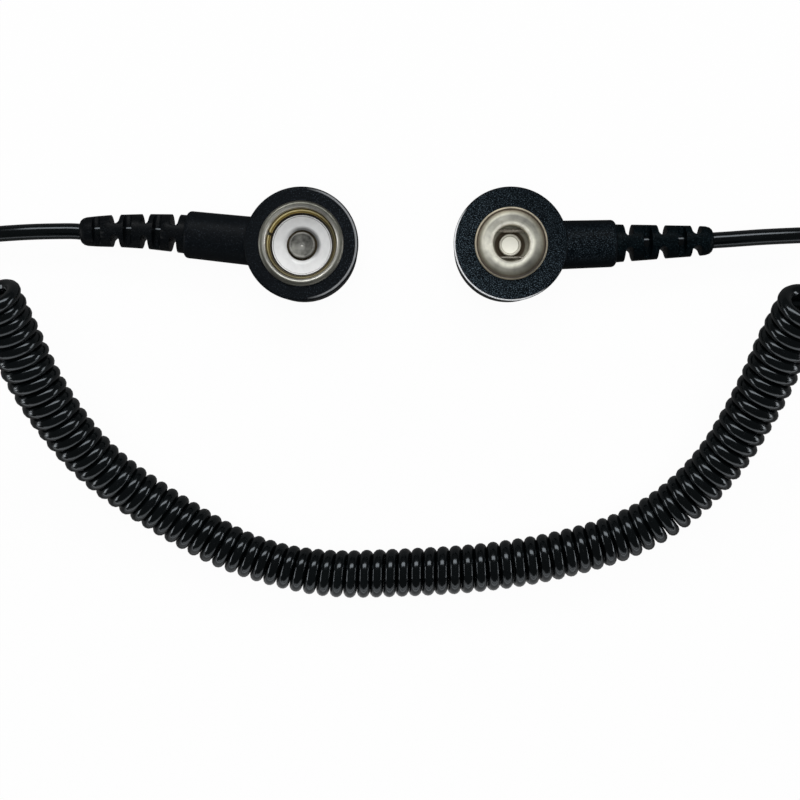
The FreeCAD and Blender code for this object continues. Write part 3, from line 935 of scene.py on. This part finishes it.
@dataclass
class CurlyCord:
    """The whole free cord: a lead, the curled middle and the other lead, on one spline.

    A swell is a share of the coil's length, a width and a change of the coil's radius. The spline
    has fewer than 1000 control points, because a longer one is drawn with a corner in it.
    """

    heads: Dict[Side, Head]
    finish: Finish
    lead_diameter: float = 2.42 * MM
    wire_middle: float = 1.90 * MM
    wire_end: float = 2.02 * MM
    outer_middle: float = 3.58 * MM
    outer_end: float = 4.0 * MM
    swells: Tuple[Tuple[float, float, float], ...] = (
        (0.375, 0.05, -0.25 * MM),
        (0.56, 0.11, 0.08 * MM),
    )
    whole_turns: int = 82
    stations_per_turn: int = 24
    points_per_turn: int = 11
    pitch_growth: float = 0.05
    lean: float = 0.16 * MM
    hand: int = -1
    straight: float = 1.3 * MM
    first_run: float = 9.0 * MM
    seat: float = 0.6 * MM
    ground_drift: Pair = (0.18 * MM, 0.22 * MM)
    wrist_drift: Pair = (0.08 * MM, 0.38 * MM)
    route_fineness: int = 64
    fineness: int = 6
    bevel_fineness: int = 5
    coil_route: Tuple[Point, ...] = (
        (-0.0555, -0.0089, 0.0226),
        (-0.0544, -0.0127, 0.0190),
        (-0.0508, -0.0229, 0.0138),
        (-0.0445, -0.0328, 0.0082),
        (-0.0350, -0.0400, 0.0044),
        (-0.0242, -0.0464, 0.0037),
        (-0.0120, -0.0496, 0.0037),
        (0.0006, -0.0493, 0.0037),
        (0.0131, -0.0486, 0.0037),
        (0.0254, -0.0466, 0.0037),
        (0.0375, -0.0427, 0.0041),
        (0.0467, -0.0345, 0.0074),
        (0.0522, -0.0238, 0.0122),
        (0.0555, -0.0135, 0.0170),
        (0.0570, -0.0098, 0.0204),
    )
    ground_route: Tuple[Point, ...] = (
        (-0.0680, 0.0015, 0.0024),
        (-0.0795, 0.0027, 0.00128),
        (-0.0900, 0.0006, 0.00127),
        (-0.0970, -0.0070, 0.00127),
        (-0.0990, -0.0175, 0.0022),
        (-0.0948, -0.0270, 0.0075),
        (-0.0850, -0.0300, 0.0150),
        (-0.0750, -0.0238, 0.0216),
    )
    wrist_route: Tuple[Point, ...] = (
        (0.0700, 0.0022, 0.0024),
        (0.0815, 0.0030, 0.00128),
        (0.0920, 0.0006, 0.00127),
        (0.0985, -0.0078, 0.00127),
        (0.0998, -0.0180, 0.0022),
        (0.0945, -0.0265, 0.0063),
        (0.0850, -0.0285, 0.0116),
        (0.0766, -0.0225, 0.0176),
    )
    ground_away: Point = (-0.86, -0.51, 0.0)
    wrist_away: Point = (0.86, -0.51, 0.0)
    stations: List[Tuple[Vector, Vector, Vector]] = field(default_factory=list)
    travel: List[float] = field(default_factory=list)
    first_angle: float = 0.0
    turns: float = 0.0

    def outwards(self, station: float) -> float:
        """0 in the middle of the coil, rising to 1 at its ends."""
        return abs(2 * station / (len(self.stations) - 1) - 1) ** 3

    def leaving_angle(self, away: Point, station: int, sign: int) -> float:
        """Angle round the coil's axis at which the wire runs along a direction.

        Args:
            away: the direction.
            station: index of the station there.
            sign: 1 where the wire leaves the coil and -1 where it comes in.

        Returns:
            The angle in radians.
        """
        _, direction, normal = self.stations[station]
        side = direction.cross(normal)
        wanted = Vector(away)
        return math.atan2(-sign * wanted.dot(normal), sign * self.hand * wanted.dot(side))

    def survey(self) -> None:
        """Sets out stations along the coil's axis and shares the turns out over them."""
        count = self.whole_turns * self.stations_per_turn + 1
        route = [Vector(point) for point in self.coil_route]
        points = evenly_spaced(spline_points(route, self.route_fineness), count)
        normal: Optional[Vector] = None
        for k, here in enumerate(points):
            direction = (points[min(k + 1, count - 1)] - points[max(k - 1, 0)]).normalized()
            if normal is None:
                normal = direction.cross(UP)
            normal = (normal - direction * direction.dot(normal)).normalized()
            self.stations.append((here, direction, normal))
        self.first_angle = self.leaving_angle(self.ground_away, 0, -1)
        ahead = (self.leaving_angle(self.wrist_away, -1, 1) - self.first_angle) / (2 * math.pi)
        self.turns = round(self.whole_turns - ahead) + ahead
        density = [1 / (1 + self.pitch_growth * self.outwards(k)) for k in range(count)]
        self.travel = [0.0]
        for before, after in zip(density, density[1:]):
            self.travel.append(self.travel[-1] + (before + after) / 2)

    def curl(self, share: float, outer_gain: float = 1.0) -> Tuple[Vector, float]:
        """Place on the curled wire's middle line.

        Args:
            share: share of all its turns.
            outer_gain: growth of its distance from the axis.

        Returns:
            The place, and the wire's diameter there.
        """
        last = len(self.stations) - 1
        k, part = locate(self.travel, self.travel[-1] * share)
        (p0, d0, n0), (p1, d1, n1) = self.stations[k], self.stations[k + 1]
        direction = d0.lerp(d1, part).normalized()
        normal = n0.lerp(n1, part).normalized()
        outwards = self.outwards(k + part)
        outer = self.outer_middle + (self.outer_end - self.outer_middle) * outwards
        for middle, width, swell in self.swells:
            outer += swell * math.exp(-(((k + part) / last - middle) / width) ** 2)
        wire = self.wire_middle + (self.wire_end - self.wire_middle) * outwards
        angle = self.first_angle + 2 * math.pi * self.turns * share
        around = normal * math.cos(angle) + direction.cross(normal) * (self.hand * math.sin(angle))
        place = p0.lerp(p1, part) + direction * (self.lean * math.cos(angle))
        return place + around * (outer - wire / 2) * outer_gain, wire

    def curl_end(self, share: float) -> Tuple[Vector, Vector]:
        """Place and direction of the wire at one end of the coil, pointing along its turns."""
        step = 1e-3 / self.turns
        ahead, _ = self.curl(share + step)
        behind, _ = self.curl(share - step)
        return self.curl(share)[0], (ahead - behind).normalized()

    def leaving(self, side: Side, drift: Pair) -> List[Vector]:
        """Control points where the cord leaves a strain relief.

        Args:
            side: which end.
            drift: how far towards +Y the cord has strayed just outside the relief and a run further.

        Returns:
            The points in order. Short first spans keep the spline's end in the relief.
        """
        place, out = self.heads[side].exit()
        near, far = drift
        steps = (
            (-self.seat, 0.0),
            (0.0, 0.0),
            (self.seat, near / 2),
            (self.first_run / 4, near),
            (self.first_run, far),
        )
        return [place + out * run + Vector((0.0, stray, 0.0)) for run, stray in steps]

    def controls(self) -> Tuple[List[Vector], List[float]]:
        """All control points of the cord's spline, and the cord's diameter at each."""
        start, start_way = self.curl_end(0.0)
        end, end_way = self.curl_end(1.0)
        first = self.leaving(Side.GROUND, self.ground_drift)
        first += [Vector(point) for point in self.ground_route]
        last = self.leaving(Side.WRIST, self.wrist_drift)
        last += [Vector(point) for point in self.wrist_route]
        for run in (self.straight + self.first_run, self.straight):
            first.append(start - start_way * run)
            last.append(end + end_way * run)
        count = round(self.turns * self.points_per_turn)
        # a quadratic spline runs inside its control points by this share
        gain = 1 / (0.75 + 0.25 * math.cos(2 * math.pi / self.points_per_turn))
        curls = [self.curl(k / count, gain) for k in range(count + 1)]
        places = first + [place for place, _ in curls] + last[::-1]
        widths = [self.lead_diameter] * (len(first) - 1) + [self.wire_end]
        widths += [wire for _, wire in curls]
        widths += [self.wire_end] + [self.lead_diameter] * (len(last) - 1)
        return places, widths

    def build(self) -> None:
        self.survey()
        places, widths = self.controls()
        curve = nurbs_curve("cord", places, [width / self.lead_diameter for width in widths])
        curve.bevel_depth = self.lead_diameter / 2
        curve.bevel_resolution = self.bevel_fineness
        curve.resolution_u = self.fineness
        curve.use_fill_caps = True
        cord = bpy.data.objects.new("cord", curve)
        bpy.context.scene.collection.objects.link(cord)
        curve.materials.append(self.finish)
        line = spline_points(places, self.fineness)
        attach(cord, "cord")
        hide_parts("curly_cord", "ground_lead", "wrist_lead")
        self.heads[Side.GROUND].exit()[0]


# Studio


@dataclass
class Lamp:
    """Soft box that faces a point on the table."""

    name: str
    place: Point
    size: Pair
    radiance: float
    aim: Point = (0.0, -0.02, 0.0)
    mirrored: bool = True

    def build(self) -> None:
        """Adds the lamp."""
        light = bpy.data.lights.new(self.name, "AREA")
        light.shape = "RECTANGLE"
        light.size, light.size_y = self.size
        light.energy = self.radiance * math.pi * self.size[0] * self.size[1]
        lamp = bpy.data.objects.new(self.name, light)
        lamp.visible_glossy = self.mirrored
        lamp.location = self.place
        lamp.rotation_mode = "QUATERNION"
        lamp.rotation_quaternion = (Vector(self.aim) - Vector(self.place)).to_track_quat("-Z", "Y")
        bpy.context.scene.collection.objects.link(lamp)


@dataclass
class Studio:
    """White table, soft lamps and the camera that looks straight down."""

    camera_place: Point = (0.52 * MM, -23.16 * MM, 208.0 * MM)
    field_width: float = 118.4 * MM
    face_height: float = 8.0 * MM
    sensor: float = 36.0
    floor_size: float = 6.0
    white_share: float = 0.96
    glow: float = 2.0
    # painted reflection: how bright glossy rays see the table in front of, near and behind the coil
    mirrored_front: float = 1.5
    front_edge: Pair = (-92.0 * MM, -84.0 * MM)
    mirrored_near: float = 0.42
    mirrored_far: float = 0.12
    near_edge: Pair = (-54.0 * MM, -50.0 * MM)
    ambient: float = 0.06
    lamps: Tuple[Lamp, ...] = (
        Lamp("key_box", (0.0, 0.34, 0.36), (0.56, 0.17), 4.0),
        Lamp("left_strip", (-0.5, -0.06, 0.09), (0.32, 0.10), 4.2),
        Lamp("right_strip", (0.5, -0.06, 0.09), (0.32, 0.10), 4.2),
        Lamp("front_strip", (0.0, -0.6, 0.10), (0.9, 0.12), 1.1),
        Lamp("top_fill", (0.0, -0.02, 0.6), (0.5, 0.5), 2.9, mirrored=False),
    )

    def camera(self) -> None:
        """Adds the camera."""
        data = bpy.data.cameras.new("camera")
        data.sensor_width = self.sensor
        data.lens = self.sensor * (self.camera_place[2] - self.face_height) / self.field_width
        data.clip_start = 0.01
        data.clip_end = 20.0
        camera = bpy.data.objects.new("camera", data)
        camera.location = self.camera_place
        bpy.context.scene.collection.objects.link(camera)
        bpy.context.scene.camera = camera

    def table(self) -> None:
        """Adds the white table: it keeps a faint shadow, and to glossy rays it glows, brighter in front
        of the coil and dimmer near and behind it, which paints reflections on the cord.
        """
        clear_selection()
        bpy.ops.mesh.primitive_plane_add(size=self.floor_size)
        table = settle(bpy.context.object, "table")
        board = Board("table_white")
        board.finish(Base_Color=(0.88, 0.88, 0.88), Roughness=0.9)
        path = board.tree.nodes.new("ShaderNodeLightPath")
        camera = Signal(board, path.outputs["Is Camera Ray"])
        glossy = Signal(board, path.outputs["Is Glossy Ray"])
        passing = Signal(board, path.outputs["Is Transmission Ray"])
        # painted reflection: the table's glow for glossy rays changes along Y
        far = board.add("ShaderNodeSeparateXYZ", sockets={0: board.place()}, output="Y")
        near_step = self.mirrored_near - self.mirrored_front
        far_step = self.mirrored_far - self.mirrored_near
        mirrored = self.mirrored_front + far.over(*self.front_edge) * near_step
        mirrored = mirrored + far.over(*self.near_edge) * far_step
        bright = board.add("ShaderNodeEmission", sockets={"Strength": self.glow})
        black = board.add("ShaderNodeEmission", sockets={"Strength": 0.0})
        # the camera sees white, of strength 1
        lit = 1 + glossy * (mirrored - 1)
        glow = board.add("ShaderNodeMixShader", sockets={0: 1 - lit / self.glow, 1: bright, 2: black})
        plain = Signal(board, board.shader.outputs[0])
        share = (camera + passing) * self.white_share + glossy
        mixed = board.add("ShaderNodeMixShader", sockets={0: share, 1: plain, 2: glow})
        output = next(n for n in board.tree.nodes if n.type == "OUTPUT_MATERIAL")
        board.feed(output.inputs["Surface"], mixed)
        table.data.materials.append(board.material)

    def air(self) -> None:
        """Sets a dim even light all round, white where the camera sees it."""
        world = bpy.data.worlds.new("studio")
        bpy.context.scene.world = world
        world.use_nodes = True
        tree = world.node_tree
        tree.nodes.clear()
        path = tree.nodes.new("ShaderNodeLightPath")
        dim = tree.nodes.new("ShaderNodeBackground")
        dim.inputs["Strength"].default_value = self.ambient
        white = tree.nodes.new("ShaderNodeBackground")
        mix = tree.nodes.new("ShaderNodeMixShader")
        output = tree.nodes.new("ShaderNodeOutputWorld")
        for background in (dim, white):
            background.inputs["Color"].default_value = (1.0, 1.0, 1.0, 1.0)
        tree.links.new(path.outputs["Is Camera Ray"], mix.inputs[0])
        tree.links.new(dim.outputs[0], mix.inputs[1])
        tree.links.new(white.outputs[0], mix.inputs[2])
        tree.links.new(mix.outputs[0], output.inputs["Surface"])

    def build(self) -> None:
        """Sets up the camera, the light and the table."""
        self.camera()
        self.table()
        self.air()
        for lamp in self.lamps:
            lamp.build()
        bpy.context.scene.view_settings.view_transform = "Standard"


# Finishes of the frame's own nodes

# painted light: inside the rim the dark band is painted shade and the brown band a painted reflection
# of the brass ring; the pale band on the rim's inner edge is a painted highlight, and the sweep paints
# shade on two sides
SHELL = TurnedMetal(
    "shell_nickel",
    (
        (4.7, (0.10, 0.08, 0.05)),
        (5.2, (0.30, 0.26, 0.18)),
        (5.4, (0.94, 0.93, 0.86)),
        (5.65, (0.88, 0.88, 0.80)),
        (5.8, (0.34, 0.34, 0.29)),
        (6.2, (0.30, 0.30, 0.26)),
        (6.33, (0.50, 0.49, 0.43)),
    ),
    roughness=0.34,
    metallic=0.8,
    painted_sweep_shade=0.5,
    painted_sweep_way=-25.0,
)

# painted shade: the dark rings round the rivet and inside the raised border are painted shadow, and the
# shades darken the top side and the rivet's shadow side
PLATE = TurnedMetal(
    "plate_satin",
    (
        (2.05, (0.16, 0.15, 0.13)),
        (2.25, (0.62, 0.62, 0.61)),
        (2.6, (0.84, 0.85, 0.85)),
        (4.2, (0.93, 0.94, 0.94)),
        (4.28, (0.45, 0.45, 0.44)),
        (4.34, (0.90, 0.91, 0.91)),
        (4.48, (0.90, 0.91, 0.91)),
    ),
    roughness=0.45,
    metallic=0.15,
    tarnish=0.9,
    shades=(Shade(0.16, 70.0, 2.3), Shade(0.75, 50.0, 1.8, 2.5, (-0.3, 0.6), 0.4)),
)

# painted light: the pale dimple and the pale rim ring are painted highlights, the dark outer ring is
# painted shadow, and the shades darken the bowl's far side
DISHED_RIVET = TurnedMetal(
    "rivet_dull",
    (
        (0.0, (0.90, 0.90, 0.86)),
        (0.3, (0.46, 0.46, 0.43)),
        (1.5, (0.44, 0.44, 0.40)),
        (1.68, (0.80, 0.80, 0.76)),
        (1.86, (0.54, 0.53, 0.49)),
        (1.98, (0.12, 0.11, 0.08)),
    ),
    roughness=0.3,
    metallic=0.6,
    tarnish=0.2,
    shades=(Shade(0.45, 70.0, 0.3, 1.0), Shade(0.5, 45.0, 1.0, 1.6, (-0.8, 0.2))),
)

# painted light: the bright gold line is a painted highlight, the dark gaps beside it are painted shade,
# and the shade darkens the lower right side
RING_SPRING = TurnedMetal(
    "ring_brass",
    (
        (4.66, (0.05, 0.03, 0.01)),
        (4.74, (0.40, 0.28, 0.06)),
        (4.82, (0.34, 0.24, 0.05)),
        (4.88, (0.07, 0.05, 0.01)),
        (4.96, (0.80, 0.66, 0.28)),
        (5.06, (1.00, 0.88, 0.46)),
        (5.14, (0.62, 0.50, 0.22)),
        (5.22, (0.14, 0.10, 0.04)),
    ),
    roughness=0.3,
    metallic=0.3,
    tarnish=0.85,
    shades=(Shade(0.8, -60.0),),
)

# painted light: the bands paint a highlight on the rolled inner rim and shade falling towards the
# dome's foot and in the gap before the outer rim; the shades darken the other sides, leaving the left
# of the dome the brightest
DOMED_CAP = TurnedMetal(
    "cap_nickel",
    (
        (2.7, (0.50, 0.47, 0.36)),
        (2.85, (0.98, 0.96, 0.84)),
        (3.1, (1.00, 0.98, 0.86)),
        (3.3, (0.97, 0.96, 0.82)),
        (3.8, (0.99, 0.98, 0.85)),
        (4.2, (0.81, 0.80, 0.68)),
        (4.6, (0.56, 0.54, 0.42)),
        (4.87, (0.32, 0.27, 0.19)),
        (5.02, (0.13, 0.10, 0.07)),
        (5.12, (0.13, 0.10, 0.07)),
        (5.24, (0.68, 0.61, 0.46)),
        (5.36, (0.50, 0.45, 0.33)),
        (5.41, (0.20, 0.17, 0.12)),
    ),
    roughness=0.42,
    metallic=0.22,
    shades=(
        Shade(0.55, 5.0, 3.2, 5.0, (-0.3, 0.6), 0.5),
        Shade(0.62, 95.0, 3.0, 4.1, (0.0, 0.8)),
        Shade(0.66, -85.0, 3.4, 5.2, (0.0, 0.8), 0.5),
        Shade(0.4, -90.0, 2.6, 3.0, (0.2, 0.9)),
        Shade(0.4, 180.0, 4.3, 5.0, (0.1, 0.8)),
    ),
)

# painted shade: the dark brown bands stand for shade deep in the well under the cap
BASE_CUP = TurnedMetal(
    "base_painted_shade",
    (
        (1.7, (0.07, 0.05, 0.03)),
        (2.2, (0.09, 0.07, 0.045)),
        (2.42, (0.46, 0.44, 0.35)),
        (2.8, (0.50, 0.49, 0.40)),
        (5.1, (0.12, 0.09, 0.06)),
    ),
    roughness=0.35,
    metallic=0.5,
)

# painted shade: the legs are darker towards the bottom
LEG_WIRE = TurnedMetal(
    "leg_steel",
    ((1.0, (0.66, 0.61, 0.52)), (3.0, (0.66, 0.61, 0.52))),
    roughness=0.25,
    metallic=0.7,
    shades=(Shade(0.62, -90.0),),
)

# painted shade: the dark rings inside and round the rivet's rim are painted shade of its dished top and
# its well
BRIGHT_RIVET = TurnedMetal(
    "rivet_bright",
    (
        (1.2, (1.00, 0.99, 0.88)),
        (1.3, (0.40, 0.38, 0.31)),
        (1.45, (0.80, 0.78, 0.68)),
        (1.67, (0.30, 0.27, 0.20)),
    ),
    roughness=0.4,
    metallic=0.15,
    tarnish=0.95,
)

SOCKET_METALS: Dict[Side, Dict[str, TurnedMetal]] = {
    Side.GROUND: {
        "snap_shell": SHELL,
        "snap_plate": PLATE,
        "snap_rivet": DISHED_RIVET,
        "snap_spring": RING_SPRING,
    },
    Side.WRIST: {
        "snap_cap": DOMED_CAP,
        "snap_base": BASE_CUP,
        "snap_spring": LEG_WIRE,
        "snap_rivet": BRIGHT_RIVET,
    },
}

INNER_FINISHES: Tuple[Tuple[Union[DrawnMetal, LacqueredBody], Tuple[str, ...]], ...] = (
    (
        DrawnMetal("terminal_tinned_brass", (0.74, 0.62, 0.38), (0.60, 0.48, 0.28), 0.3, 0.1 * MM),
        ("terminal",),
    ),
    (
        DrawnMetal("tinned_wire", (0.76, 0.75, 0.72), (0.60, 0.59, 0.56), 0.3, 0.08 * MM),
        ("resistor_leads", "crimp_sleeve"),
    ),
    (
        DrawnMetal("bare_copper", (0.82, 0.46, 0.28), (0.66, 0.34, 0.20), 0.3, 0.08 * MM),
        ("bare_wire",),
    ),
    (
        LacqueredBody("resistor_lacquer", (0.55, 0.44, 0.30), (0.46, 0.36, 0.24)),
        ("resistor",),
    ),
)

# each moulding paints light on one side of its disc, with a painted highlight along the disc's edge in
# the edge colour
MOULDINGS: Dict[Side, GrainedMoulding] = {
    Side.GROUND: GrainedMoulding(
        "ground_moulding",
        base=(0.0028, 0.0040, 0.0054),
        fleck=(0.032, 0.042, 0.054),
        grain=0.17 * MM,
        depth=0.010 * MM,
        fleck_cover=0.05,
        roughness=0.5,
        specular=0.08,
        painted_light_way=0.0,
        highlight_radius=8.17 * MM,
        highlight_width=0.18 * MM,
        edge=(0.24, 0.25, 0.26),
    ),
    Side.WRIST: GrainedMoulding(
        "wrist_moulding",
        base=(0.0010, 0.0024, 0.0036),
        fleck=(0.074, 0.106, 0.132),
        grain=0.14 * MM,
        depth=0.016 * MM,
        fleck_cover=0.08,
        roughness=0.46,
        specular=0.05,
        painted_light_way=225.0,
        highlight_radius=8.36 * MM,
        highlight_width=0.12 * MM,
        edge=(0.95, 0.97, 1.00),
    ),
}

VINYLS: Dict[Side, GrainedMoulding] = {
    Side.GROUND: GrainedMoulding(
        "ground_vinyl",
        base=(0.0024, 0.0032, 0.0040),
        fleck=(0.012, 0.015, 0.018),
        grain=0.15 * MM,
        depth=0.01 * MM,
        fleck_cover=0.05,
        roughness=0.42,
        specular=0.09,
    ),
    Side.WRIST: GrainedMoulding(
        "wrist_vinyl",
        base=(0.0008, 0.0022, 0.0030),
        fleck=(0.020, 0.034, 0.042),
        grain=0.13 * MM,
        depth=0.01 * MM,
        fleck_cover=0.06,
        roughness=0.42,
        specular=0.035,
    ),
}

JACKET = GlossJacket("cord_jacket", (0.0010, 0.0015, 0.0017), 0.11, 0.65)


def dress(node: str, finish: Finish) -> None:
    """Puts a finish on one of the frame's own nodes.

    Args:
        node: the node's name.
        finish: its material.
    """
    piece = frame["nodes"][node]
    piece.data.materials.clear()
    piece.data.materials.append(finish)
    log.info("%s: dressed in %s", node, finish.name)


def dress_head(head: Head) -> None:
    """Dresses the housing halves and the socket's pieces of one head.

    Args:
        head: the head.
    """
    centre = tuple(head.socket_place[:2])
    moulded = MOULDINGS[head.side].material(centre)
    for node in ("housing_front", "housing_back"):
        dress(head.side.node(node), moulded)
    for node, metal in SOCKET_METALS[head.side].items():
        dress(head.side.node(node), metal.material(centre))


def dress_inner_pieces() -> None:
    """Dresses the electrical pieces inside both heads."""
    for finish, nodes in INNER_FINISHES:
        worn = finish.material()
        for side in Side:
            for node in nodes:
                dress(side.node(node), worn)


# The two heads

GROUND_HEAD = Head(
    side=Side.GROUND,
    socket="snap_socket_10mm",
    heading=174.0,
    bend=7.5,
    barrel_end=17.7 * MM,
    flange_start=15.7 * MM,
    relief_rings=(
        (17.7, 2.9),
        (18.6, 2.87),
        (20.2, 2.80),
        (22.4, 2.68),
        (24.6, 2.58),
        (26.8, 2.48),
        (29.0, 2.40),
        (31.2, 2.28),
        (32.6, 2.16),
        (33.1, 2.00),
        (33.45, 1.72),
        (33.6, 1.40),
    ),
    tip=33.6 * MM,
    side_notches=(19.3 * MM, 23.74 * MM, 28.2 * MM),
    notch_floors=(0.56 * MM, 0.58 * MM, 0.70 * MM),
    top_slots=(21.8 * MM, 26.2 * MM, 30.9 * MM),
)

WRIST_HEAD = Head(
    side=Side.WRIST,
    socket="snap_socket_4mm",
    heading=1.7,
    bend=0.0,
    barrel_end=16.0 * MM,
    flange_start=14.0 * MM,
    relief_rings=(
        (16.0, 2.87),
        (17.2, 2.80),
        (19.2, 2.72),
        (21.4, 2.62),
        (23.6, 2.50),
        (25.8, 2.40),
        (27.8, 2.32),
        (29.6, 2.18),
        (30.2, 2.00),
        (30.52, 1.72),
        (30.67, 1.40),
    ),
    tip=30.67 * MM,
    side_notches=(17.88 * MM, 22.95 * MM, 28.1 * MM),
    notch_floors=(0.62 * MM, 0.66 * MM, 0.74 * MM),
    top_slots=(20.6 * MM, 25.8 * MM),
)


def main() -> None:
    """Builds the studio, the cord and both heads in order."""
    logging.basicConfig(level=logging.INFO, format="%(message)s")
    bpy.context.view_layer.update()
    heads = {head.side: head for head in (GROUND_HEAD, WRIST_HEAD)}
    Studio().build()
    jacket = JACKET.material()
    CurlyCord(heads, jacket).build()
    for head in heads.values():
        StrainRelief(head, VINYLS[head.side].material(), jacket).build()
        dress_head(head)
    dress_inner_pieces()
    clear_selection()


if __name__ == "__main__":
    main()
